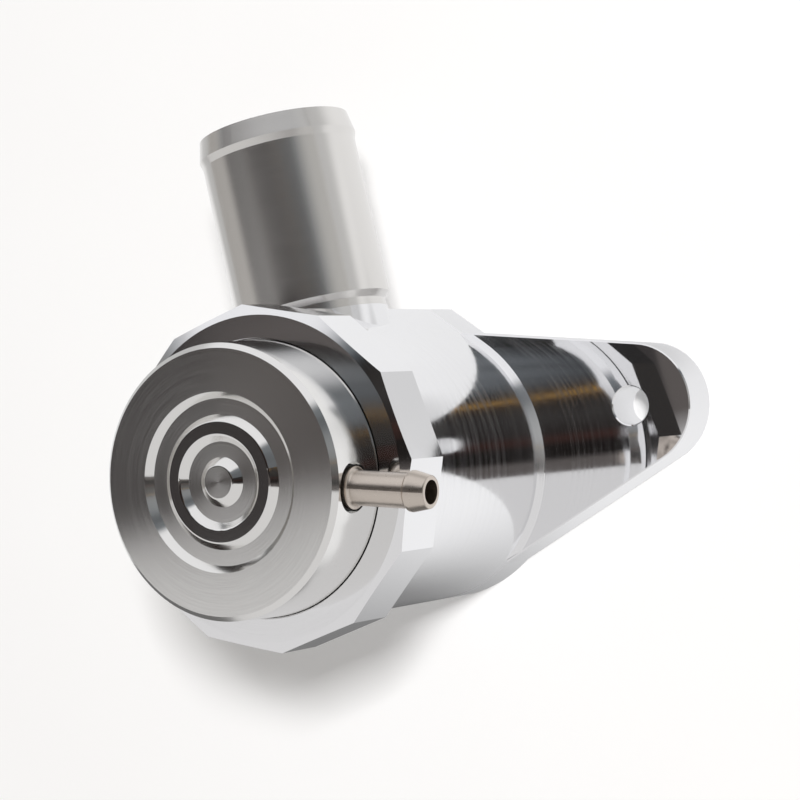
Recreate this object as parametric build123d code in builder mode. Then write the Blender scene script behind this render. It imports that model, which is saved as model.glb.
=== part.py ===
from build123d import *
from math import cos, pi, radians, sin
import os

os.makedirs("parts", exist_ok=True)

# The valve stands on its base face at z = 0, its axis is +Z, its bolts lie along X
# and its outlet points along +Y. All sizes are millimetres.

# How closely an edge's radius must match a size for the edge to be picked.
PICK_TOLERANCE = 0.01

# Body: flange, barrel and outlet boss are one milled and turned piece.
FLANGE_T = 8.0
BOLT_SPACING = 84.0
BOLT_HOLE_R = 3.2
EAR_R = 10.2
EAR_OUT = 0.6
WEB_R = 23.05
BARREL_R = 23.75
BARREL_TOP = 42.7
SHOULDER_H = 4.0
SHOULDER_FLARE = 1.15
NECK_R = 23.9
NECK_H = 6.3
ROOT_CHAMFER = 1.0
EDGE_BREAK = 0.3
FINE_BREAK = 0.2

# The outlet boss is a flat that stands out of the barrel, with a round pad behind the pipe.
BOSS_RISE = 1.65
BOSS_HALF = 8.7
PAD_R = 12.2
OUTLET_Z = 30.5
PORT_R = 8.6

# Passages inside the body.
INLET_R = 12.5
SEAT_Z = 19.0
BORE_R = 16.0
INLET_BREAK = 0.5

# Twelve-sided ring nut that holds the cap down.
COLLAR_SIDES = 12
COLLAR_CORNER_R = 27.68
COLLAR_TURN = 23.0
COLLAR_LEDGE_GAP = 0.3
COLLAR_LIP_T = 2.6
COLLAR_FACE_R = 25.8
COLLAR_CONE_DROP = 0.7
THREAD_GAP = 0.1
WASHER_T = 0.5
WASHER_GAP = 0.1

# Cap: a turned cup whose lip is trapped under the ring nut.
CAP_R = 21.5
CAP_SEAM_R = 21.9
CAP_LIP_R = 23.6
CAP_LIP_T = 1.1
CAP_RISE = 11.4
CAP_CHAMFER = 0.8
CAP_CAVITY_R = 14.0
CAP_ROOF_T = 3.2
SEAM_GAP = 0.1

# Turned rings in the cap's face, from the rim inwards.
RIM_INNER_R = 13.98
GROOVE_DEPTH = 1.1
GROOVE_OUTER_R = 12.95
LAND_FOOT_R = 10.5
LAND_OUTER_R = 9.4
LAND_OUTER_DROP = 0.12
LAND_INNER_R = 7.33
DIMPLE_OUTER_R = 6.28
DIMPLE_INNER_R = 3.9
DISC_R = 2.6
CREST_ROUND = 0.4

# Vacuum hose nipple in the cap's side.
NIPPLE_ANGLE = -15.8
NIPPLE_DROP = 5.0
NIPPLE_TUBE_R = 2.7
NIPPLE_BORE_R = 1.85
NIPPLE_COLLAR_R = 3.3
NIPPLE_COLLAR_OUT = 0.3
NIPPLE_COLLAR_T = 0.9
NIPPLE_FILLET = 0.5
NIPPLE_STUB = 4.7
STUB_GAP = 0.05
NIPPLE_TUBE_L = 9.55
BARB_RISE = 0.5
BARB_LAND = 0.4
BARB_TAPER = 2.75
BARB_R = 3.15
NIPPLE_TIP_R = 2.5
NIPPLE_TIP_ROUND = 0.25
SPOT_R = 3.9
NIPPLE_SEAL_T = 0.8
NIPPLE_SEAL_W = 0.9
DRILL_R = 1.5

# Outlet pipe for a 25 mm hose, its lengths counted from the boss's flat.
PIPE_R = 13.0
PIPE_NECK_R = 12.0
PIPE_NECK_H = 1.35
PIPE_NECK_CHAMFER_H = 1.0
PIPE_TUBE_L = 29.0
PIPE_BEAD_RISE = 1.2
PIPE_BEAD_R = 13.35
PIPE_L = 33.6
PIPE_END_R = 12.65
PIPE_MOUTH_R = 11.0
PIPE_STRAIGHT_FROM = 8.6
PIPE_CONE_H = 4.0
SPIGOT_R = 10.9
SPIGOT_GAP = 0.1
SPIGOT_L = 6.9
SPIGOT_END_GAP = 0.2

# Seals with a squeezed, rounded section.
SEAL_ROUND = 0.35
CAP_SEAL_R = 18.6
CAP_SEAL_W = 2.0
CAP_SEAL_H = 1.1
BASE_SEAL_R = 17.5
BASE_SEAL_W = 2.0
BASE_SEAL_H = 1.4
PIPE_SEAL_W = 1.4
PIPE_SEAL_H = 0.9
PIPE_SEAL_INSET = 2.4

# Piston and what rides on it; LIFT is how far it opens.
LIFT = 9.0
STOP_GAP = 0.5
SEAL_GAP = 0.05
FACE_SEAL_T = 2.0
FACE_SEAL_R = 15.0
RUNNING_GAP = 0.05
PISTON_WALL = 3.15
PISTON_FLOOR = 3.95
PISTON_BREAK = 0.5
SCREW_BOSS_R = 5.5
SCREW_BOSS_H = 6.5
RING_GAP = 0.03
RING_W = 1.2
RING_SIDE_GAP = 0.04
RING_DEPTH = 1.3
RING_BACK_GAP = 0.1
RING_SPLIT = 0.5
RING_INSET = 1.0
RING_SPACING = 2.0
BAND_W = 4.0
BAND_DEPTH = 1.0
BAND_ABOVE_FLOOR = 1.0
UPPER_SPLIT_TURN = 200.0
LOWER_SPLIT_TURN = 20.0
BAND_SPLIT_TURN = 290.0

# Retainer plate and its countersunk screw.
RETAINER_R = 11.6
RETAINER_T = 1.6
RETAINER_SPIGOT_R = 6.0
RETAINER_FIT = 0.05
SCREW_R = 2.0
SCREW_HEAD_R = 3.9
SCREW_HEAD_SUNK = 0.1
SCREW_L = 12.0
SCREW_HOLE_GAP = 0.15
SCREW_HEX = 2.5
HEX_SIDES = 6
SCREW_HEX_DEPTH = 1.3

# Spring and its two steel seats.
WIRE_R = 1.0
SPRING_R = 10.5
SPRING_COILS = 7
SPRING_CLOSED = 1.0
POINTS_PER_COIL = 16
SHIM_T = 0.5
SHIM_INNER_R = 8.6
SHIM_OUTER_R = 12.6
SPRING_SEAT_T = 0.8
SPRING_SEAT_INNER_R = 7.5
SPRING_SEAT_OUTER_R = 13.6
SEAT_LIP_R = 9.2
SEAT_LIP_H = 1.6

# Heights and lengths that follow from the sizes above, from the base up.
shoulder_top = BARREL_TOP + SHOULDER_H
shoulder_r = BARREL_R + SHOULDER_FLARE
body_top = shoulder_top + NECK_H
lip_top = body_top + CAP_LIP_T
washer_top = lip_top + WASHER_T
collar_base = shoulder_top + COLLAR_LEDGE_GAP
collar_top = washer_top + COLLAR_LIP_T
cap_top = collar_top + CAP_RISE
cavity_roof = cap_top - CAP_ROOF_T
nipple_z = cap_top - NIPPLE_DROP
boss_flat_y = BARREL_R + BOSS_RISE
blank_r = BOLT_SPACING
piston_base = SEAT_Z + SEAL_GAP + FACE_SEAL_T
piston_top = body_top - STOP_GAP - LIFT
piston_floor = piston_base + PISTON_FLOOR
piston_r = BORE_R - RUNNING_GAP
cup_r = piston_r - PISTON_WALL
shim_top = piston_floor + SHIM_T
spring_top = cavity_roof - SPRING_SEAT_T

# Planes whose local x is a radius and whose local y runs along the turned axis.
nipple_cos = cos(radians(NIPPLE_ANGLE))
nipple_sin = sin(radians(NIPPLE_ANGLE))
pipe_plane = Plane(origin=(0, 0, OUTLET_Z), x_dir=(0, 0, 1), z_dir=(-1, 0, 0))
pipe_axis = Axis((0, 0, OUTLET_Z), (0, 1, 0))
nipple_plane = Plane(origin=(0, 0, nipple_z), x_dir=(0, 0, 1), z_dir=(-nipple_sin, nipple_cos, 0))
nipple_axis = Axis((0, 0, nipple_z), (nipple_cos, nipple_sin, 0))
outlet_face = Plane(origin=(0, 0, OUTLET_Z), x_dir=(1, 0, 0), z_dir=(0, 1, 0))
nipple_face = Plane(origin=(0, 0, nipple_z), x_dir=(0, 0, 1), z_dir=(nipple_cos, nipple_sin, 0))


def flat_ring(inner_r, outer_r, low, high):
    """A plain washer round the valve's axis."""
    with BuildPart() as piece:
        with BuildSketch(Plane.XY.offset(low)):
            Circle(outer_r)
            Circle(inner_r, mode=Mode.SUBTRACT)
        extrude(amount=high - low)
    return piece


def seal_ring(plane, axis, inner_r, outer_r, low, high):
    """A seal with rounded corners, squeezed to fill its groove."""
    with BuildPart() as piece:
        with BuildSketch(plane):
            with Locations(((inner_r + outer_r) / 2, (low + high) / 2)):
                RectangleRounded(outer_r - inner_r, high - low, SEAL_ROUND)
        revolve(axis=axis)
    return piece


def split_ring(inner_r, outer_r, low, high, turn):
    """A piston ring or guide band, cut through once so it can spring into its groove."""
    with BuildPart() as piece:
        with BuildSketch(Plane.XY.offset(low)):
            Circle(outer_r)
            Circle(inner_r, mode=Mode.SUBTRACT)
            with PolarLocations(inner_r, 1, start_angle=turn):
                Rectangle(outer_r, RING_SPLIT, mode=Mode.SUBTRACT)
        extrude(amount=high - low)
    return piece


# Outline of the barrel with its outlet flat, the sides of the boss meeting the barrel tangentially.
with BuildSketch() as barrel_outline:
    Circle(BARREL_R)
    with Locations((0, boss_flat_y / 2)):
        Rectangle(2 * BOSS_HALF, boss_flat_y)
    make_hull()

# Outline of the two-bolt flange: two ears drawn together round the middle.
ear_x = BOLT_SPACING / 2 + EAR_OUT
with BuildSketch() as flange_outline:
    Circle(WEB_R)
    with Locations((-ear_x, 0), (ear_x, 0)):
        Circle(EAR_R)
    make_hull()

# The flange's edges are broken before the barrel joins it, so the envelope trims the root chamfer too.
with BuildPart() as envelope:
    with BuildSketch():
        add(flange_outline.sketch)
    extrude(amount=FLANGE_T)
    chamfer(envelope.edges().filter_by_position(Axis.Z, 0, 0), FINE_BREAK)
    chamfer(envelope.edges().filter_by_position(Axis.Z, FLANGE_T, FLANGE_T), FINE_BREAK)
    with BuildSketch(Plane.XY.offset(FLANGE_T)):
        add(flange_outline.sketch)
        offset(amount=-FINE_BREAK, mode=Mode.REPLACE)
    extrude(amount=ROOT_CHAMFER)
    with BuildSketch():
        add(barrel_outline.sketch)
    extrude(amount=shoulder_top)

with BuildPart() as body:
    with BuildSketch():
        Circle(blank_r)
    extrude(amount=FLANGE_T)
    with BuildSketch(Plane.XY.offset(FLANGE_T)):
        add(barrel_outline.sketch)
    extrude(amount=shoulder_top - FLANGE_T)
    root = body.edges().filter_by_position(Axis.Z, FLANGE_T, FLANGE_T).sort_by(SortBy.LENGTH)[:-1]
    chamfer(root, ROOT_CHAMFER)
    add(envelope.part, mode=Mode.INTERSECT)
    with BuildSketch(outlet_face.offset(BORE_R)):
        Circle(PAD_R)
    extrude(amount=boss_flat_y - BORE_R)
    with BuildSketch(Plane.XZ):
        with BuildLine():
            Polyline(
                (0, BARREL_TOP),
                (BARREL_R, BARREL_TOP),
                (shoulder_r, shoulder_top),
                (NECK_R, shoulder_top),
                (NECK_R, body_top - EDGE_BREAK),
                (NECK_R - EDGE_BREAK, body_top),
                (0, body_top),
                close=True,
            )
        make_face()
    revolve(axis=Axis.Z)
    with BuildSketch(Plane.XZ):
        with BuildLine():
            Polyline(
                (0, 0),
                (INLET_R + INLET_BREAK, 0),
                (INLET_R, INLET_BREAK),
                (INLET_R, SEAT_Z - FINE_BREAK),
                (INLET_R + FINE_BREAK, SEAT_Z),
                (BORE_R, SEAT_Z),
                (BORE_R, body_top - EDGE_BREAK),
                (BORE_R + EDGE_BREAK, body_top),
                (0, body_top),
                close=True,
            )
        make_face()
    revolve(axis=Axis.Z, mode=Mode.SUBTRACT)
    with BuildSketch(outlet_face):
        Circle(PORT_R)
    extrude(amount=boss_flat_y, mode=Mode.SUBTRACT)
    with BuildSketch(outlet_face.offset(boss_flat_y)):
        Circle(SPIGOT_R + SPIGOT_GAP)
    extrude(amount=-SPIGOT_L - SPIGOT_END_GAP, mode=Mode.SUBTRACT)
    with BuildSketch():
        Circle(BASE_SEAL_R + BASE_SEAL_W / 2)
        Circle(BASE_SEAL_R - BASE_SEAL_W / 2, mode=Mode.SUBTRACT)
    extrude(amount=BASE_SEAL_H, mode=Mode.SUBTRACT)
    with BuildSketch(Plane.XY.offset(body_top)):
        Circle(CAP_SEAL_R + CAP_SEAL_W / 2)
        Circle(CAP_SEAL_R - CAP_SEAL_W / 2, mode=Mode.SUBTRACT)
    extrude(amount=-CAP_SEAL_H, mode=Mode.SUBTRACT)
    with BuildSketch():
        with Locations((-BOLT_SPACING / 2, 0), (BOLT_SPACING / 2, 0)):
            Circle(BOLT_HOLE_R)
    extrude(amount=FLANGE_T, mode=Mode.SUBTRACT)
    hole_edges = body.edges().filter_by(GeomType.CIRCLE).filter_by(
        lambda e: abs(e.radius - BOLT_HOLE_R) < PICK_TOLERANCE
    )
    chamfer(hole_edges, FINE_BREAK)

base_o_ring = seal_ring(
    Plane.XZ, Axis.Z, BASE_SEAL_R - BASE_SEAL_W / 2, BASE_SEAL_R + BASE_SEAL_W / 2, 0, BASE_SEAL_H
)
cap_o_ring = seal_ring(
    Plane.XZ,
    Axis.Z,
    CAP_SEAL_R - CAP_SEAL_W / 2,
    CAP_SEAL_R + CAP_SEAL_W / 2,
    body_top - CAP_SEAL_H,
    body_top,
)

with BuildPart() as collar:
    with BuildSketch(Plane.XY.offset(collar_base)):
        RegularPolygon(COLLAR_CORNER_R, COLLAR_SIDES, rotation=COLLAR_TURN)
    extrude(amount=collar_top - collar_base)
    cone_slope = COLLAR_CONE_DROP / (COLLAR_CORNER_R - COLLAR_FACE_R)
    cone_reach = COLLAR_CORNER_R + EDGE_BREAK
    with BuildSketch(Plane.XZ):
        with BuildLine():
            Polyline(
                (0, collar_base),
                (cone_reach - EDGE_BREAK, collar_base),
                (cone_reach, collar_base + EDGE_BREAK),
                (cone_reach, collar_top - cone_slope * (cone_reach - COLLAR_FACE_R)),
                (COLLAR_FACE_R, collar_top),
                (0, collar_top),
                close=True,
            )
        make_face()
    revolve(axis=Axis.Z, mode=Mode.INTERSECT)
    with BuildSketch(Plane.XZ):
        with BuildLine():
            Polyline(
                (0, collar_base),
                (NECK_R + THREAD_GAP + EDGE_BREAK, collar_base),
                (NECK_R + THREAD_GAP, collar_base + EDGE_BREAK),
                (NECK_R + THREAD_GAP, washer_top),
                (CAP_SEAM_R + SEAM_GAP, washer_top),
                (CAP_SEAM_R + SEAM_GAP, collar_top - FINE_BREAK),
                (CAP_SEAM_R + SEAM_GAP + FINE_BREAK, collar_top),
                (0, collar_top),
                close=True,
            )
        make_face()
    revolve(axis=Axis.Z, mode=Mode.SUBTRACT)

thrust_washer = flat_ring(
    CAP_SEAM_R + WASHER_GAP, NECK_R + THREAD_GAP - WASHER_GAP, lip_top, washer_top
)

groove_floor = cap_top - GROOVE_DEPTH
collar_face = CAP_R + NIPPLE_COLLAR_OUT
collar_foot = collar_face - NIPPLE_COLLAR_T
spot_floor = collar_foot - NIPPLE_SEAL_T
with BuildPart() as cap:
    with BuildSketch(Plane.XZ):
        with BuildLine():
            Polyline(
                (CAP_CAVITY_R, body_top),
                (CAP_LIP_R, body_top),
                (CAP_LIP_R, lip_top),
                (CAP_SEAM_R, lip_top),
                (CAP_SEAM_R, collar_top),
                (CAP_R, cap_top - CAP_CHAMFER),
                (CAP_R - CAP_CHAMFER, cap_top),
                (RIM_INNER_R, cap_top),
                (GROOVE_OUTER_R, groove_floor),
                (LAND_FOOT_R, groove_floor),
                (LAND_OUTER_R, cap_top - LAND_OUTER_DROP),
                (LAND_INNER_R, cap_top),
                (DIMPLE_OUTER_R, groove_floor),
                (DIMPLE_INNER_R, groove_floor),
                (DISC_R, cap_top),
                (0, cap_top),
                (0, cavity_roof),
                (CAP_CAVITY_R, cavity_roof),
                close=True,
            )
        make_face()
    revolve(axis=Axis.Z)
    crests = cap.edges().filter_by(GeomType.CIRCLE).filter_by(
        lambda e: min(abs(e.radius - r) for r in (LAND_OUTER_R, LAND_INNER_R, DISC_R)) < PICK_TOLERANCE
    )
    fillet(crests, CREST_ROUND)
    with BuildSketch(nipple_face.offset(spot_floor)):
        Circle(SPOT_R)
    extrude(amount=collar_face, mode=Mode.SUBTRACT)
    with BuildSketch(nipple_face.offset(spot_floor)):
        Circle(NIPPLE_TUBE_R)
    extrude(amount=-NIPPLE_STUB, mode=Mode.SUBTRACT)
    with BuildSketch(nipple_face):
        Circle(DRILL_R)
    extrude(amount=spot_floor, mode=Mode.SUBTRACT)

barb_foot = collar_face + NIPPLE_TUBE_L
barb_top = barb_foot + BARB_RISE
nipple_end = barb_top + BARB_LAND + BARB_TAPER
with BuildPart() as nipple:
    with BuildSketch(nipple_plane):
        with BuildLine():
            Polyline(
                (NIPPLE_BORE_R, spot_floor - NIPPLE_STUB + STUB_GAP),
                (NIPPLE_TUBE_R - STUB_GAP, spot_floor - NIPPLE_STUB + STUB_GAP),
                (NIPPLE_TUBE_R - STUB_GAP, collar_foot),
                (NIPPLE_COLLAR_R, collar_foot),
                (NIPPLE_COLLAR_R, collar_face),
                (NIPPLE_TUBE_R, collar_face),
                (NIPPLE_TUBE_R, barb_foot),
                (BARB_R, barb_top),
                (BARB_R, barb_top + BARB_LAND),
                (NIPPLE_TIP_R, nipple_end),
                (NIPPLE_BORE_R, nipple_end),
                close=True,
            )
        make_face()
    revolve(axis=nipple_axis)
    collar_root = nipple.edges().filter_by(GeomType.CIRCLE).filter_by(
        lambda e: abs(e.radius - NIPPLE_TUBE_R) < PICK_TOLERANCE
    ).sort_by(nipple_axis)[0]
    fillet(collar_root, NIPPLE_FILLET)
    tip = nipple.edges().filter_by(GeomType.CIRCLE).filter_by(
        lambda e: abs(e.radius - NIPPLE_TIP_R) < PICK_TOLERANCE
    ).sort_by(nipple_axis)[-1]
    fillet(tip, NIPPLE_TIP_ROUND)

nipple_o_ring = seal_ring(
    nipple_plane,
    nipple_axis,
    NIPPLE_TUBE_R,
    NIPPLE_TUBE_R + NIPPLE_SEAL_W,
    spot_floor,
    collar_foot,
)

spigot_end = boss_flat_y - SPIGOT_L
neck_top = boss_flat_y + PIPE_NECK_H
pipe_seal_top = boss_flat_y - PIPE_SEAL_INSET
pipe_seal_foot = pipe_seal_top - PIPE_SEAL_W
pipe_seal_r = SPIGOT_R + SPIGOT_GAP - PIPE_SEAL_H
bead_foot = boss_flat_y + PIPE_TUBE_L
pipe_end = boss_flat_y + PIPE_L
straight_foot = boss_flat_y + PIPE_STRAIGHT_FROM
with BuildPart() as outlet_pipe:
    with BuildSketch(pipe_plane):
        with BuildLine():
            Polyline(
                (PORT_R, spigot_end),
                (SPIGOT_R - EDGE_BREAK, spigot_end),
                (SPIGOT_R, spigot_end + EDGE_BREAK),
                (SPIGOT_R, pipe_seal_foot),
                (pipe_seal_r, pipe_seal_foot),
                (pipe_seal_r, pipe_seal_top),
                (SPIGOT_R, pipe_seal_top),
                (SPIGOT_R, boss_flat_y),
                (PIPE_NECK_R, boss_flat_y),
                (PIPE_NECK_R, neck_top),
                (PIPE_R, neck_top + PIPE_NECK_CHAMFER_H),
                (PIPE_R, bead_foot),
                (PIPE_BEAD_R, bead_foot + PIPE_BEAD_RISE),
                (PIPE_END_R, pipe_end),
                (PIPE_MOUTH_R + EDGE_BREAK, pipe_end),
                (PIPE_MOUTH_R, pipe_end - EDGE_BREAK),
                (PIPE_MOUTH_R, straight_foot),
                (PORT_R, straight_foot - PIPE_CONE_H),
                close=True,
            )
        make_face()
    revolve(axis=pipe_axis)

pipe_o_ring = seal_ring(
    pipe_plane, pipe_axis, pipe_seal_r, SPIGOT_R + SPIGOT_GAP, pipe_seal_foot, pipe_seal_top
)

ring_top = piston_top - RING_INSET
lower_ring_top = ring_top - RING_SPACING
groove_r = piston_r - RING_DEPTH
band_low = piston_floor + BAND_ABOVE_FLOOR
band_r = piston_r - BAND_DEPTH
screw_tip = piston_base - RETAINER_T + SCREW_L
with BuildPart() as piston:
    with BuildSketch(Plane.XZ):
        with BuildLine():
            Polyline(
                (0, piston_base),
                (piston_r - PISTON_BREAK, piston_base),
                (piston_r, piston_base + PISTON_BREAK),
                (piston_r, band_low),
                (band_r, band_low),
                (band_r, band_low + BAND_W),
                (piston_r, band_low + BAND_W),
                (piston_r, lower_ring_top - RING_W),
                (groove_r, lower_ring_top - RING_W),
                (groove_r, lower_ring_top),
                (piston_r, lower_ring_top),
                (piston_r, ring_top - RING_W),
                (groove_r, ring_top - RING_W),
                (groove_r, ring_top),
                (piston_r, ring_top),
                (piston_r, piston_top - EDGE_BREAK),
                (piston_r - EDGE_BREAK, piston_top),
                (cup_r + PISTON_BREAK, piston_top),
                (cup_r, piston_top - PISTON_BREAK),
                (cup_r, piston_floor),
                (SCREW_BOSS_R, piston_floor),
                (SCREW_BOSS_R, piston_floor + SCREW_BOSS_H),
                (0, piston_floor + SCREW_BOSS_H),
                close=True,
            )
        make_face()
    revolve(axis=Axis.Z)
    with BuildSketch(Plane.XY.offset(piston_base)):
        Circle(SCREW_R + STUB_GAP)
    extrude(amount=screw_tip - piston_base, mode=Mode.SUBTRACT)

piston_ring_upper = split_ring(
    groove_r + RING_BACK_GAP,
    BORE_R - RING_GAP,
    ring_top - RING_W,
    ring_top - RING_SIDE_GAP,
    UPPER_SPLIT_TURN,
)
piston_ring_lower = split_ring(
    groove_r + RING_BACK_GAP,
    BORE_R - RING_GAP,
    lower_ring_top - RING_W,
    lower_ring_top - RING_SIDE_GAP,
    LOWER_SPLIT_TURN,
)
guide_band = split_ring(
    band_r + RING_SIDE_GAP,
    BORE_R - RING_GAP,
    band_low,
    band_low + BAND_W - RING_SIDE_GAP,
    BAND_SPLIT_TURN,
)

seal_low = piston_base - FACE_SEAL_T
retainer_base = seal_low - RETAINER_T
face_seal = flat_ring(RETAINER_SPIGOT_R + RETAINER_FIT, FACE_SEAL_R, seal_low, piston_base)

head_top = retainer_base + SCREW_HEAD_SUNK
head_h = SCREW_HEAD_R - SCREW_R
with BuildPart() as seal_retainer:
    with BuildSketch(Plane.XZ):
        with BuildLine():
            Polyline(
                (SCREW_HEAD_R + SCREW_HOLE_GAP + SCREW_HEAD_SUNK, retainer_base),
                (RETAINER_R - EDGE_BREAK, retainer_base),
                (RETAINER_R, retainer_base + EDGE_BREAK),
                (RETAINER_R, seal_low),
                (RETAINER_SPIGOT_R, seal_low),
                (RETAINER_SPIGOT_R, piston_base),
                (SCREW_R + SCREW_HOLE_GAP, piston_base),
                (SCREW_R + SCREW_HOLE_GAP, head_top + head_h),
                close=True,
            )
        make_face()
    revolve(axis=Axis.Z)

with BuildPart() as retainer_screw:
    with BuildSketch(Plane.XZ):
        with BuildLine():
            Polyline(
                (0, head_top),
                (SCREW_HEAD_R, head_top),
                (SCREW_R, head_top + head_h),
                (SCREW_R, screw_tip - 2 * EDGE_BREAK),
                (SCREW_R - EDGE_BREAK, screw_tip - EDGE_BREAK),
                (0, screw_tip - EDGE_BREAK),
                close=True,
            )
        make_face()
    revolve(axis=Axis.Z)
    with BuildSketch(Plane.XY.offset(head_top)):
        RegularPolygon(SCREW_HEX / 2, HEX_SIDES, major_radius=False)
    extrude(amount=SCREW_HEX_DEPTH, mode=Mode.SUBTRACT)

spring_shim = flat_ring(SHIM_INNER_R, SHIM_OUTER_R, piston_floor, shim_top)

with BuildPart() as spring_seat:
    with BuildSketch(Plane.XZ):
        with BuildLine():
            Polyline(
                (SPRING_SEAT_INNER_R, spring_top - SEAT_LIP_H),
                (SEAT_LIP_R, spring_top - SEAT_LIP_H),
                (SEAT_LIP_R, spring_top),
                (SPRING_SEAT_OUTER_R, spring_top),
                (SPRING_SEAT_OUTER_R, cavity_roof),
                (SPRING_SEAT_INNER_R, cavity_roof),
                close=True,
            )
        make_face()
    revolve(axis=Axis.Z)


def wire_height(turn):
    """Height of the wire's centre after so many turns: closed end coils, even ones between."""
    low = shim_top + WIRE_R / 2
    high = spring_top - WIRE_R / 2
    closed_rise = 2 * WIRE_R * SPRING_CLOSED
    if turn < SPRING_CLOSED:
        return low + 2 * WIRE_R * turn
    if turn > SPRING_COILS - SPRING_CLOSED:
        return high - 2 * WIRE_R * (SPRING_COILS - turn)
    share = (turn - SPRING_CLOSED) / (SPRING_COILS - 2 * SPRING_CLOSED)
    return low + closed_rise + share * (high - low - 2 * closed_rise)


with BuildPart() as spring:
    with BuildLine() as wire:
        steps = SPRING_COILS * POINTS_PER_COIL
        turns = [k / POINTS_PER_COIL for k in range(steps + 1)]
        Spline(
            *[
                (SPRING_R * cos(2 * pi * t), SPRING_R * sin(2 * pi * t), wire_height(t))
                for t in turns
            ]
        )
    with BuildSketch(Plane(origin=wire.line @ 0, z_dir=wire.line % 0)):
        Circle(WIRE_R)
    sweep(path=wire.line, is_frenet=True)
    with BuildSketch(Plane.XY.offset(shim_top)):
        Circle(SHIM_OUTER_R)
    extrude(amount=spring_top - shim_top, mode=Mode.INTERSECT)

body.part.label = "body"
collar.part.label = "collar"
thrust_washer.part.label = "thrust_washer"
cap.part.label = "cap"
cap_o_ring.part.label = "cap_o_ring"
nipple.part.label = "nipple"
nipple_o_ring.part.label = "nipple_o_ring"
outlet_pipe.part.label = "outlet_pipe"
pipe_o_ring.part.label = "pipe_o_ring"
base_o_ring.part.label = "base_o_ring"
piston.part.label = "piston"
piston_ring_upper.part.label = "piston_ring_upper"
piston_ring_lower.part.label = "piston_ring_lower"
guide_band.part.label = "guide_band"
face_seal.part.label = "face_seal"
seal_retainer.part.label = "seal_retainer"
retainer_screw.part.label = "retainer_screw"
spring.part.label = "spring"
spring_seat.part.label = "spring_seat"
spring_shim.part.label = "spring_shim"

export_step(body.part, "parts/body.step")
export_step(collar.part, "parts/collar.step")
export_step(thrust_washer.part, "parts/thrust_washer.step")
export_step(cap.part, "parts/cap.step")
export_step(cap_o_ring.part, "parts/cap_o_ring.step")
export_step(nipple.part, "parts/nipple.step")
export_step(nipple_o_ring.part, "parts/nipple_o_ring.step")
export_step(outlet_pipe.part, "parts/outlet_pipe.step")
export_step(pipe_o_ring.part, "parts/pipe_o_ring.step")
export_step(base_o_ring.part, "parts/base_o_ring.step")
export_step(piston.part, "parts/piston.step")
export_step(piston_ring_upper.part, "parts/piston_ring_upper.step")
export_step(piston_ring_lower.part, "parts/piston_ring_lower.step")
export_step(guide_band.part, "parts/guide_band.step")
export_step(face_seal.part, "parts/face_seal.step")
export_step(seal_retainer.part, "parts/seal_retainer.step")
export_step(retainer_screw.part, "parts/retainer_screw.step")
export_step(spring.part, "parts/spring.step")
export_step(spring_seat.part, "parts/spring_seat.step")
export_step(spring_shim.part, "parts/spring_shim.step")
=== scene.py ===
# %% [markdown]
# # A blow off valve, dressed for a studio photograph
# A blow off valve lets charge air out of a turbo engine's pipe when the throttle shuts.
# Its solids come from the imported model, at real size and in place. This script gives
# them their finishes, adds the spring as a wire swept round a helix in place of the solid
# spring, sets the studio round them and adds the camera. The valve is all bare metal, so
# most of its look comes from two things: how smooth each surface was left, and what the
# room shows it.

# %% Load the solids
import bpy
import numpy as np
from mathutils import Matrix, Vector


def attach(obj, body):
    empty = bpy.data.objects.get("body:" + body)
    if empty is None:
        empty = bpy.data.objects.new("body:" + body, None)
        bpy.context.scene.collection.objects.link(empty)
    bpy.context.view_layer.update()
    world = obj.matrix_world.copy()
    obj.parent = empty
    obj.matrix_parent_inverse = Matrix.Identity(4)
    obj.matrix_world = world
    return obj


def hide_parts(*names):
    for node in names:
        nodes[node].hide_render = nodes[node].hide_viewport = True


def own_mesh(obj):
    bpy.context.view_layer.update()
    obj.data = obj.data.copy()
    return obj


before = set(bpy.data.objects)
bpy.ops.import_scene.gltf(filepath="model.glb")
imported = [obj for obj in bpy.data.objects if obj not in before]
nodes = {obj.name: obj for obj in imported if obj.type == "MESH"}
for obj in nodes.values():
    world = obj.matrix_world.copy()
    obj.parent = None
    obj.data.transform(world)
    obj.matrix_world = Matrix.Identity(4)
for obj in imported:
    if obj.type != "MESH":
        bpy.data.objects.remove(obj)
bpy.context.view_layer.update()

# %% [markdown]
# ## Sizes that the finishes need
# The finishes change from one turned surface to the next, so the script needs a few real
# sizes of the valve. They are written in millimetres, as on a drawing, and one factor
# turns them to metres, which is what Blender works in.

# %% Sizes
MM = 0.001
FLANGE_T = 8.0 * MM
OUTLET_Z = 30.5 * MM
LAND_INNER = 7.2 * MM
LAND_OUTER = 9.5 * MM

# %% [markdown]
# ## Camera
# The view was worked out from the round edges of the cap and the flange, which a
# photograph shows as ellipses. It looks down on the valve's face with a long lens and is
# rolled, so that the outlet points up in the picture. A matrix made of the camera's
# right, up and back directions holds the roll exactly, which is easier to check than
# three angles.

# %% Camera
CAMERA_AT = Vector((230.343, -35.02, 399.906)) * MM
CAMERA_RIGHT = Vector((0.828506, -0.220072, -0.514924))
CAMERA_UP = Vector((0.241043, 0.970145, -0.026792))

camera_data = bpy.data.cameras.new("camera")
camera_data.sensor_width = 36.0
camera_data.lens = 118.308
camera_data.clip_start = 0.01
camera_data.clip_end = 20.0
camera = bpy.data.objects.new("camera", camera_data)
bpy.context.scene.collection.objects.link(camera)
camera_back = CAMERA_RIGHT.cross(CAMERA_UP)
axes = Matrix((CAMERA_RIGHT, CAMERA_UP, camera_back)).transposed().to_4x4()
camera.matrix_world = Matrix.Translation(CAMERA_AT) @ axes
bpy.context.scene.camera = camera
bpy.context.scene.view_settings.view_transform = "Standard"
print("camera at", [round(v, 4) for v in camera.matrix_world.translation])

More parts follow.
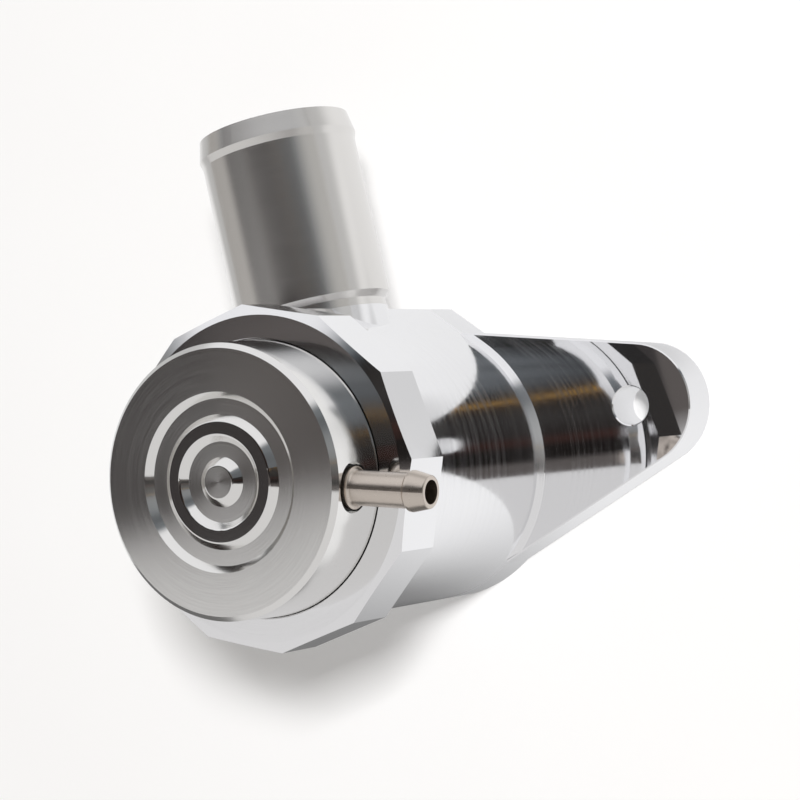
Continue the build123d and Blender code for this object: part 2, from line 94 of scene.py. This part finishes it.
# %% [markdown]
# ## Colours and nodes
# Colours are written as sRGB hex values, as a paint chart gives them, and one function
# turns them to the linear values that shaders work in. One more adds any node, sets its
# inputs and makes its links. It gives back an output, so a chain of nodes can be written
# as calls inside calls, and each material below reads as a short recipe. Where a node
# has several outputs that are needed, they are taken from the output's own node.

# %% Helpers for materials
def linear(code):
    """sRGB hex to linear RGBA: c / 12.92 below 0.04045, else ((c + 0.055) / 1.055) ** 2.4."""
    srgb = np.array([int(code[i:i + 2], 16) for i in (1, 3, 5)]) / 255
    rgb = np.where(srgb <= 0.04045, srgb / 12.92, ((srgb + 0.055) / 1.055) ** 2.4)
    return (*rgb.tolist(), 1.0)


def add(tree, kind, inputs=(), out=0, **settings):
    """Adds a shader node and gives back its output out.

    An input is a value, or another node's output to link. Inputs are a list in the order
    of the node's sockets, or a dictionary by their numbers or names.
    """
    made = tree.nodes.new("ShaderNode" + kind)
    for key, value in settings.items():
        setattr(made, key, value)
    for key, value in inputs.items() if isinstance(inputs, dict) else enumerate(inputs):
        if isinstance(value, bpy.types.NodeSocket):
            tree.links.new(value, made.inputs[key])
        else:
            made.inputs[key].default_value = value
    return made.outputs[out] if made.outputs else made


def new_material(name):
    """An empty node material and its tree."""
    material = bpy.data.materials.new(name)
    material.use_nodes = True
    material.node_tree.nodes.clear()
    return material, material.node_tree


SMOOTH = {"interpolation_type": "SMOOTHSTEP"}
print("mid grey", round(linear("#808080")[0], 3))

# %% [markdown]
# ## Where a point lies on a turned piece
# A lathe cuts rings: the finish only changes with the distance from the axis and along
# it. So each pattern is read at (radius, height) instead of at (x, y, z), and it follows
# every turned surface without unwrapping. A little of x is added, so that a ring fades
# in and out on its way round, as a real tool mark does.

# %% Turned coordinates
RING_DRIFT = 0.02


def turned_place(tree, axis):
    """Outputs (radius, height, vector of both) about the valve's axis or the outlet's."""
    x, y, z = add(tree, "SeparateXYZ", [add(tree, "TexCoord", out="Object")]).node.outputs
    across, height = y, z
    if axis == "outlet":
        across, height = add(tree, "Math", [z, OUTLET_Z], operation="SUBTRACT"), y
    flat = add(tree, "CombineXYZ", [x, across])
    radius = add(tree, "VectorMath", [flat], out="Value", operation="LENGTH")
    drift = add(tree, "Math", [x, RING_DRIFT], operation="MULTIPLY")
    return radius, height, add(tree, "CombineXYZ", [radius, height, drift])


def inside(tree, value, low, high):
    """1 where the value lies between low and high, else 0."""
    above = add(tree, "Math", [value, low], operation="GREATER_THAN")
    below = add(tree, "Math", [value, high], operation="LESS_THAN")
    return add(tree, "Math", [above, below], operation="MULTIPLY")


print("polished land from", LAND_INNER, "to", LAND_OUTER, "m")

# %% [markdown]
# ## Turned aluminium
# The cap, the ring nut and the pipe come off a lathe. Their rings lie about a tenth of a
# millimetre apart, which is finer than a pixel here, so the shader carries most of them:
# an anisotropic roughness that is wide across the rings and narrow along them. Turned a
# quarter from the tangent, it draws the bright and dark sectors that a turned face has.
# A faint noise over the rings keeps the sectors from looking airbrushed. The land on the
# cap was polished after turning, so there the roughness drops, and its normal leans a
# little towards the axis, because a buff never leaves a narrow ring quite flat.

# %% Turned metal
RELIEF = 0.02 * MM
NOISE_LOW, NOISE_HIGH = 0.3, 0.7
ACROSS_RINGS = 0.25
LAND_ROUGHNESS = 0.35
LAND_RINGS = 0.2
LAND_LEAN = 0.067


def leaned(tree, normal, land):
    """The normal less LAND_LEAN times the direction away from the axis, on the land only."""
    place = add(tree, "TexCoord", out="Object")
    level = add(tree, "VectorMath", [place, (1, 1, 0)], operation="MULTIPLY")
    outward = add(tree, "VectorMath", [level], operation="NORMALIZE")
    slope = add(tree, "Math", [land, -LAND_LEAN], operation="MULTIPLY")
    shift = add(tree, "VectorMath", {0: outward, "Scale": slope}, operation="SCALE")
    shifted = add(tree, "VectorMath", [normal, shift], operation="ADD")
    return add(tree, "VectorMath", [shifted], operation="NORMALIZE")


def turned_metal(name, colour, roughness, spread, ring_mm, depth, anisotropy,
                 axis="valve", polished_land=False):
    """Metal with tool rings ring_mm apart, of the given roughness give or take spread."""
    material, tree = new_material(name)
    radius, _, where = turned_place(tree, axis)
    rings = add(tree, "TexNoise", {"Vector": where, "Scale": 1 / (ring_mm * MM), "Detail": 2.0,
                                   "Roughness": 0.6}, out="Fac")
    rough = add(tree, "MapRange", [rings, NOISE_LOW, NOISE_HIGH,
                                   roughness - spread, roughness + spread])
    lift = rings
    if polished_land:
        land = inside(tree, radius, LAND_INNER, LAND_OUTER)
        calmer = add(tree, "MapRange", [land, 0, 1, 1, LAND_ROUGHNESS])
        rough = add(tree, "Math", [rough, calmer], operation="MULTIPLY")
        flatter = add(tree, "MapRange", [land, 0, 1, 1, LAND_RINGS])
        lift = add(tree, "Math", [rings, flatter], operation="MULTIPLY")
    normal = add(tree, "Bump", {"Height": lift, "Strength": depth, "Distance": RELIEF})
    if polished_land:
        normal = leaned(tree, normal, land)
    tangent = add(tree, "Tangent", direction_type="RADIAL",
                  axis="Y" if axis == "outlet" else "Z")
    shader = add(tree, "BsdfPrincipled", {
        "Base Color": linear(colour), "Metallic": 1.0, "Roughness": rough, "Normal": normal,
        "Anisotropic": anisotropy, "Anisotropic Rotation": ACROSS_RINGS, "Tangent": tangent})
    add(tree, "OutputMaterial", {"Surface": shader})
    return material


# Finely turned: dark and bright sectors that turn with the view.
cap_metal = turned_metal("turned_aluminium_cap", "#ECEBE9", 0.11, 0.015, 0.12, 0.05, 0.8,
                         polished_land=True)
# Polished after turning: nearly a mirror, so each flat shows its own tone.
collar_metal = turned_metal("turned_aluminium_collar", "#F2F2F3", 0.09, 0.02, 0.25, 0.06, 0.3)
# As it came off the lathe: a soft, warm-grey sheen that runs along the pipe.
pipe_metal = turned_metal("turned_aluminium_pipe", "#E4E2DF", 0.25, 0.015, 0.2, 0.05, 0.75,
                          axis="outlet")
print("turned metals made")

# %% [markdown]
# ## Polished body
# The body is one milled piece with three finishes. The flange's face was buffed to a
# mirror, the barrel was polished on the lathe, so fine streaks run round it, and the
# flange's edge kept the cutter's satin. One material tells them apart by height, since
# they meet at the flange's top face, and the eye then reads one piece of metal. The
# streaks move the roughness and let a little matt light through, as scratches do, so
# the barrel reads as polished by hand and not as chrome.

# %% Body finish
BARREL_RING = 0.2 * MM
# Rings of 0.2 mm fall between two pixels, so the streaks that are seen start at 0.5 mm.
BARREL_STREAK = 0.5 * MM
BARREL_FROM = FLANGE_T + 0.15 * MM
EDGE_UP_TO = FLANGE_T - 0.3 * MM
MIRROR_ROUGHNESS = 0.02
MOST_SCRATCHED = 0.03


def body_finish():
    """Satin below the flange's face, a mirror on it and fine turned streaks above it."""
    material, tree = new_material("polished_aluminium_body")
    _, height, where = turned_place(tree, "valve")
    rings = add(tree, "TexNoise", {"Vector": where, "Scale": 1 / BARREL_RING,
                                   "Detail": 2.0}, out="Fac")
    streaks = add(tree, "TexNoise", {"Vector": where, "Scale": 1 / BARREL_STREAK,
                                     "Detail": 3.0, "Roughness": 0.75}, out="Fac")
    above = add(tree, "Math", [height, BARREL_FROM], operation="GREATER_THAN")
    below = add(tree, "Math", [height, EDGE_UP_TO], operation="LESS_THAN")
    barrel = add(tree, "MapRange", [streaks, 0.35, 0.65, 0.06, 0.16])
    satin = add(tree, "MapRange", [rings, NOISE_LOW, NOISE_HIGH, 0.28, 0.32])
    smooth = add(tree, "MapRange", [above, 0, 1, MIRROR_ROUGHNESS, barrel])
    rough = add(tree, "MapRange", [below, 0, 1, smooth, satin])
    # Scratches scatter some of the lamp's light, which a share of matt surface stands for.
    scratches = add(tree, "MapRange", [streaks, 0.48, 0.68, 0, MOST_SCRATCHED])
    scratches = add(tree, "Math", [scratches, above], operation="MULTIPLY")
    metal = add(tree, "Math", [1.0, scratches], operation="SUBTRACT")
    lift = add(tree, "Math", [rings, above], operation="MULTIPLY")
    normal = add(tree, "Bump", {"Height": lift, "Strength": 0.05, "Distance": RELIEF})
    tangent = add(tree, "Tangent", direction_type="RADIAL", axis="Z")
    shader = add(tree, "BsdfPrincipled", {
        "Base Color": linear("#F2F2F3"), "Metallic": metal, "Roughness": rough,
        "Normal": normal, "Anisotropic": 0.3, "Anisotropic Rotation": ACROSS_RINGS,
        "Tangent": tangent})
    add(tree, "OutputMaterial", {"Surface": shader})
    return material


body_metal = body_finish()
print("body finish made")

# %% [markdown]
# ## Plated, anodised and moulded pieces
# The small pieces need no zones. Each has one even finish, broken by a grain of a tenth
# to half a millimetre: the brushing of nickel plate, the crystals of zinc, the dull skin
# of rubber. The grain moves the roughness up and down and lifts the surface a little, so
# that a highlight on it isn't perfectly smooth.

# %% Grained materials
def grained(name, colour, metallic, roughness, spread, grain_mm, depth):
    """A plain material whose noise of grain_mm varies its roughness and lifts its surface."""
    material, tree = new_material(name)
    place = add(tree, "TexCoord", out="Object")
    grain = add(tree, "TexNoise", {"Vector": place, "Scale": 1 / (grain_mm * MM),
                                   "Detail": 3.0}, out="Fac")
    rough = add(tree, "MapRange", [grain, NOISE_LOW, NOISE_HIGH,
                                   roughness - spread, roughness + spread])
    normal = add(tree, "Bump", {"Height": grain, "Strength": depth, "Distance": RELIEF})
    shader = add(tree, "BsdfPrincipled", {
        "Base Color": linear(colour), "Metallic": metallic, "Roughness": rough,
        "Normal": normal})
    add(tree, "OutputMaterial", {"Surface": shader})
    return material


# Nickel plate is warmer than aluminium, and its brushing softens the highlight.
nickel = grained("brushed_nickel_plate", "#D2C8BE", 1.0, 0.3, 0.03, 0.3, 0.08)
# Hard anodising leaves a dark grey skin with a dull sheen.
anodised = grained("hard_anodised_aluminium", "#4A4B4E", 1.0, 0.4, 0.05, 0.1, 0.2)
# Satin aluminium is pale and even, without a clear reflection.
satin = grained("satin_aluminium", "#CFCFD0", 1.0, 0.32, 0.05, 0.15, 0.2)
# Zinc is cooler and brighter, and slightly cloudy.
zinc = grained("bright_zinc_steel", "#C9CBCE", 1.0, 0.28, 0.06, 0.4, 0.15)
# Drawn wire is darker than plate and looks a little oily.
spring_wire = grained("drawn_spring_steel", "#8A8782", 1.0, 0.35, 0.06, 0.2, 0.2)
# Moulded rubber is almost black, with only a dull highlight.
rubber = grained("nitrile_rubber", "#191919", 0.0, 0.55, 0.08, 0.2, 0.3)
# PTFE is waxy and off-white.
ptfe = grained("white_ptfe", "#E8E7E1", 0.0, 0.45, 0.05, 0.3, 0.1)
# A filler makes the guide band's plastic brown.
bearing = grained("filled_bearing_plastic", "#4C3A2C", 0.0, 0.5, 0.08, 0.25, 0.2)
print("eight grained materials made")

# %% [markdown]
# ## Which piece gets which finish
# A table of node names and materials is easier to check than twenty separate lines, and
# a name that is missing or misspelt stops the script.

# %% Give the solids their finishes
FINISHES = {
    "body": body_metal, "collar": collar_metal, "cap": cap_metal, "outlet_pipe": pipe_metal,
    "nipple": nickel, "nipple_o_ring": rubber, "cap_o_ring": rubber, "pipe_o_ring": rubber,
    "base_o_ring": rubber, "thrust_washer": ptfe, "piston": anodised, "piston_ring_upper": ptfe,
    "piston_ring_lower": ptfe, "guide_band": bearing, "face_seal": rubber, "seal_retainer": satin,
    "retainer_screw": zinc, "spring": spring_wire, "spring_seat": zinc, "spring_shim": zinc}
for name, finish in FINISHES.items():
    nodes[name].data.materials.clear()
    nodes[name].data.materials.append(finish)
print(len(FINISHES), "solids given a finish")

# %% [markdown]
# ## The spring
# On the real valve the spring pushes the piston down on its seat, and charge air lifts
# the piston against it. This piece takes the place of the packed spring, which is hidden.
# It is a tube swept round a helix: closed end coils, even coils between, and both ends
# ground flat, which the tube gets by limiting its heights to the two seats.

# %% Spring
WIRE_R = 1.0 * MM
SPRING_R = 10.5 * MM
SPRING_COILS = 7
SPRING_FOOT = 25.5 * MM
SPRING_TOP = 64.6 * MM


def helix_tube(coils, coil_r, wire_r, foot, top, steps=64, sides=20):
    """A wire of radius wire_r round a helix of radius coil_r, as a closed mesh.

    The wire's centre is at (coil_r cos a, coil_r sin a, h), where a grows by a full turn per
    coil. h rises by one wire's thickness over each end coil and evenly over the coils
    between. Each cross-section is a circle about that centre, in the plane of the outward
    radius and the direction square to both the radius and the wire. Heights stop at foot
    and top, which grinds the ends flat, and one face closes each end.
    """
    turn = np.linspace(0, coils, coils * steps + 1)
    low, high = foot + wire_r / 2, top - wire_r / 2
    height = np.interp(turn, [0, 1, coils - 1, coils],
                       [low, low + 2 * wire_r, high - 2 * wire_r, high])
    angle = 2 * np.pi * turn
    outward = np.stack([np.cos(angle), np.sin(angle), np.zeros_like(angle)], axis=1)
    centre = coil_r * outward
    centre[:, 2] = height
    along = np.gradient(centre, axis=0)
    along /= np.linalg.norm(along, axis=1, keepdims=True)
    across = np.cross(outward, along)
    round_wire = np.linspace(0, 2 * np.pi, sides, endpoint=False)[None, :, None]
    ring = np.cos(round_wire) * outward[:, None] + np.sin(round_wire) * across[:, None]
    points = centre[:, None] + wire_r * ring
    points[..., 2] = np.clip(points[..., 2], foot, top)
    index = np.arange(points.shape[0] * sides).reshape(-1, sides)
    ahead = np.roll(index, -1, axis=1)
    quads = np.stack([index[:-1], index[1:], ahead[1:], ahead[:-1]], axis=-1).reshape(-1, 4)
    ends = [index[0].tolist(), index[-1][::-1].tolist()]
    mesh = bpy.data.meshes.new("spring_coils")
    mesh.from_pydata(points.reshape(-1, 3).tolist(), [], quads.tolist() + ends)
    mesh.polygons.foreach_set("use_smooth", np.ones(len(mesh.polygons), dtype=bool))
    return mesh


spring_mesh = helix_tube(SPRING_COILS, SPRING_R, WIRE_R, SPRING_FOOT, SPRING_TOP)
spring_mesh.materials.append(spring_wire)
spring_coils = bpy.data.objects.new("spring_coils", spring_mesh)
bpy.context.scene.collection.objects.link(spring_coils)
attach(spring_coils, "valve")
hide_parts("spring")
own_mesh(spring_coils)

# %% [markdown]
# ## Floor
# A pale matt disc carries the valve and takes its shadow. To the camera it glows a
# little, and fully far away, so that it reads as the white paper of a product photograph
# without a horizon, while the shadow near the valve stays. To rays that left a metal
# surface it is mostly a fixed pale tone, which is what polished aluminium needs to look
# bright: it is only as light as what it mirrors. Painted shade darkens that tone: a
# painted shadow to one side, where the valve shades the paper, one painted shade spot,
# and a painted fall-off of light far away.

# %% Tones of the floor
# Painted shade in the paper's tone in metal: the valve's shadow, one shade spot and a fall-off
# far away.
SHADED_FROM, SHADED_TO, SHADED_TONE = -14 * MM, 36 * MM, 0.16
OPEN_FROM, OPEN_TO = -26 * MM, -8 * MM
SHADE_SPOT_AT, SHADE_SPOT_CORE, SHADE_SPOT_RIM, SHADE_SPOT_TONE = (52 * MM, 20 * MM, 0), 8 * MM, 18 * MM, 0.78
FAR_FROM, FAR_TO, FAR_TONE = 75 * MM, 170 * MM, 0.6
GLOW_FROM, GLOW_TO, LEAST_GLOW = 110 * MM, 500 * MM, 0.2
METAL_SHARE = 0.9


def paper_light_in_metal(tree, place, reach, mottle):
    """How bright the paper is in metal: painted valve shadow times painted shade spot times
    patches times painted fall-off with distance.
    """
    x, y, _ = add(tree, "SeparateXYZ", [place]).node.outputs
    # Painted shadow of the valve: the paper darker towards one side.
    shaded = add(tree, "MapRange", [x, SHADED_FROM, SHADED_TO, SHADED_TONE, 1], **SMOOTH)
    open_side = add(tree, "MapRange", [y, OPEN_FROM, OPEN_TO, 0, 1], **SMOOTH)
    shade = add(tree, "Math", [shaded, open_side], operation="MAXIMUM")
    # Painted shade: one darker spot on the paper.
    off_shade_spot = add(tree, "VectorMath", [place, SHADE_SPOT_AT], out="Value", operation="DISTANCE")
    shade_spot = add(tree, "MapRange", [off_shade_spot, SHADE_SPOT_CORE, SHADE_SPOT_RIM, SHADE_SPOT_TONE, 1], **SMOOTH)
    # Painted fall-off of light: the paper darker far from the valve.
    far = add(tree, "MapRange", [reach, FAR_FROM, FAR_TO, 1, FAR_TONE], **SMOOTH)
    tone = add(tree, "MapRange", [mottle, 0.35, 0.65, 0.85, 1])
    for part in (shade, shade_spot, far):
        tone = add(tree, "Math", [tone, part], operation="MULTIPLY")
    return tone


print("paper shades from", SHADED_TO, "to", SHADED_FROM, "m")

# %% Floor
FLOOR_R = 1.5
FLOOR_Z = -0.02 * MM
FLOOR_SIDES = 96


def floor_finish():
    """Matt paper, with one glowing share for the camera and another for mirrored rays."""
    material, tree = new_material("pale_floor")
    place = add(tree, "TexCoord", out="Object")
    reach = add(tree, "VectorMath", [place], out="Value", operation="LENGTH")
    mottle = add(tree, "TexNoise", {"Vector": place, "Scale": 14.0}, out="Fac")
    tone = add(tree, "Mix", {0: mottle, 6: linear("#F5F4F4"), 7: linear("#F9F9F9")},
               out=2, data_type="RGBA")
    matt = add(tree, "BsdfDiffuse", {"Color": tone})
    white = add(tree, "Emission", {"Color": (1, 1, 1, 1), "Strength": 1.0})
    mirrored = add(tree, "Emission", {
        "Color": linear("#FDFDFE"), "Strength": paper_light_in_metal(tree, place, reach, mottle)})
    rays = add(tree, "LightPath").node.outputs
    glow = add(tree, "MapRange", [reach, GLOW_FROM, GLOW_TO, LEAST_GLOW, 1], **SMOOTH)
    to_camera = add(tree, "Math", [rays["Is Camera Ray"], glow], operation="MULTIPLY")
    to_metal = add(tree, "Math", [rays["Is Glossy Ray"], METAL_SHARE], operation="MULTIPLY")
    seen = add(tree, "MixShader", [to_camera, matt, white])
    add(tree, "OutputMaterial", {"Surface": add(tree, "MixShader", [to_metal, seen, mirrored])})
    return material


angles = np.linspace(0, 2 * np.pi, FLOOR_SIDES, endpoint=False)
rim = np.stack([FLOOR_R * np.cos(angles), FLOOR_R * np.sin(angles),
                np.full(FLOOR_SIDES, FLOOR_Z)], axis=1)
floor_mesh = bpy.data.meshes.new("floor")
floor_mesh.from_pydata(rim.tolist(), [], [list(range(FLOOR_SIDES))])
floor_mesh.materials.append(floor_finish())
floor = bpy.data.objects.new("floor", floor_mesh)
bpy.context.scene.collection.objects.link(floor)
print("floor radius", FLOOR_R, "m")

# %% [markdown]
# ## Room
# The world is the rest of the studio. The camera sees it white, matt pieces get a plain
# grey light from it, and metal mirrors a simple room: a white table on one side up to a
# sharp edge, a dark room beyond the edge with one warm strip of light in it, blue-grey
# walls that grow paler to both sides, and a white ceiling. Each part is a test on the
# ray's direction, mostly its height over a plane, so the room needs no objects.

# %% Room for mirrored rays
EDGE_NEAR = (0.05, 1.0, -0.0496)
EDGE_FAR = (0.3547, 1.0, 0.0763)
STRIP_RISE = 0.5655
STRIP_HALF = 0.0222
RISE_LOW, RISE_HIGH = -0.1, 2.4
BEYOND = [
    (0.034, "#DEDDDD"), (0.046, "#5F5A58"), (0.104, "#5F5A58"), (0.136, "#1D1A19"),
    (0.20, "#1D1A19"), (0.24, "#3F2A26"), (0.272, "#2A2625"), (0.35, "#363433"),
    (0.43, "#2B2827"), (0.454, "#262525"), (0.476, "#46494C"), (0.504, "#6E7276"),
    (0.60, "#7A7E82"), (1.0, "#7A7E82")]

world = bpy.data.worlds.new("studio")
bpy.context.scene.world = world
world.use_nodes = True
tree = world.node_tree
tree.nodes.clear()
direction = add(tree, "TexCoord", out="Generated")
to_x, to_y, to_z = add(tree, "SeparateXYZ", [direction]).node.outputs
over_table = add(tree, "Math", [
    add(tree, "VectorMath", [direction, EDGE_NEAR], out="Value", operation="DOT_PRODUCT"),
    add(tree, "VectorMath", [direction, EDGE_FAR], out="Value", operation="DOT_PRODUCT"),
], operation="MAXIMUM")
level = add(tree, "Math", [to_z, 0.05], operation="MAXIMUM")
strip = add(tree, "Math", [level, STRIP_RISE], operation="MULTIPLY")
rise = add(tree, "Math", [over_table, strip], operation="DIVIDE")
up_the_ramp = add(tree, "MapRange", [rise, RISE_LOW, RISE_HIGH, 0, 1])
beyond = add(tree, "ValToRGB", [up_the_ramp])
stops = beyond.node.color_ramp.elements
stops[0].position, stops[0].color = BEYOND[0][0], linear(BEYOND[0][1])
stops[1].position, stops[1].color = BEYOND[-1][0], linear(BEYOND[-1][1])
for position, code in BEYOND[1:-1]:
    stops.new(position).color = linear(code)
print(len(BEYOND), "tones beyond the table's edge")

# %% Warm strip
from_strip = add(tree, "Math", [rise, 1.0], operation="SUBTRACT")
off_strip = add(tree, "Math", [from_strip], operation="ABSOLUTE")
strip_glow = add(tree, "MapRange", [off_strip, 0, STRIP_HALF, 1, 0])
strip_right = add(tree, "MapRange", [to_x, 0.12, 0.3, 0, 1], **SMOOTH)
strip_seen = add(tree, "Math", [strip_glow, strip_right], operation="MULTIPLY")
beyond = add(tree, "Mix", {0: strip_seen, 6: beyond, 7: linear("#C79A55")},
             out=2, data_type="RGBA")
print("warm strip", STRIP_HALF, "of its height to each side")

# %% [markdown]
# ## Walls and ceiling
# The walls are uneven, because a real studio holds stands and cloths that metal picks up
# as soft streaks and dark bands. They grow paler to the left and to the right, and the
# ceiling is white. Each is a layer laid over the last one, as in a painting program, and
# a layer on the walls stops at the table's edge.

# %% Walls and ceiling
CLOTH_STRETCH = (9.0, 0.6, 5.0)
MOST_CLOTH = 0.42

high = add(tree, "Math", [over_table, 0.0], operation="GREATER_THAN")
stretched = add(tree, "VectorMath", [direction, CLOTH_STRETCH], operation="MULTIPLY")
cloths = add(tree, "TexNoise", {"Vector": stretched, "Scale": 1.0, "Detail": 3.0}, out="Fac")
wall_layers = [
    (add(tree, "MapRange", [cloths, 0.42, 0.62, 0, MOST_CLOTH]), "#1D1B1A"),
    (inside(tree, to_x, -0.72, -0.56), "#3B3838"),
    (inside(tree, to_x, -0.50, -0.4185), "#3B3838"),
    (add(tree, "MapRange", [to_x, 0.78, 0.98, 0, 1], **SMOOTH), "#C2C1BF"),
    (add(tree, "MapRange", [to_x, -0.72, -0.88, 0, 1], **SMOOTH), "#ACA9A6")]
room = beyond
for cover, code in wall_layers:
    share = add(tree, "Math", [cover, high], operation="MULTIPLY")
    room = add(tree, "Mix", {0: share, 6: room, 7: linear(code)}, out=2, data_type="RGBA")
ceiling = add(tree, "MapRange", [to_y, 0.5, 0.62, 0, 1], **SMOOTH)
room = add(tree, "Mix", {0: ceiling, 6: room, 7: linear("#F2F2F4")}, out=2, data_type="RGBA")
print(len(wall_layers), "layers on the walls")

# %% [markdown]
# ## Who sees the room, and the lamp
# The room is only for rays that left metal. Other rays get a plain grey, which fills the
# shadows, and the camera gets white. One square lamp stands close to the camera and a
# little over it, so the shadow falls just below the valve in the picture. It isn't
# mirrored, since a lamp in polished metal shows as a hard white square.

# %% World output and lamp
LAMP_AT = Vector((0.915, 0.215, 1.535))
LAMP_TOWARD = Vector((0, 0, 0.02))
LAMP_SIZE = 0.26
LAMP_POWER = 28.5

rays = add(tree, "LightPath").node.outputs
lit = add(tree, "Mix", {0: rays["Is Glossy Ray"], 6: linear("#96938F"), 7: room},
          out=2, data_type="RGBA")
shown = add(tree, "Mix", {0: rays["Is Camera Ray"], 6: lit, 7: (1, 1, 1, 1)},
            out=2, data_type="RGBA")
backdrop = add(tree, "Background", {"Color": shown, "Strength": 1.0})
add(tree, "OutputWorld", {"Surface": backdrop})

lamp_data = bpy.data.lights.new("key", "AREA")
lamp_data.size = LAMP_SIZE
lamp_data.energy = LAMP_POWER
lamp = bpy.data.objects.new("key", lamp_data)
lamp.location = LAMP_AT
lamp.rotation_euler = (LAMP_TOWARD - LAMP_AT).to_track_quat("-Z", "Y").to_euler()
lamp.visible_glossy = False
bpy.context.scene.collection.objects.link(lamp)
print("lamp of", LAMP_POWER, "W", round((LAMP_AT - LAMP_TOWARD).length, 2), "m away")
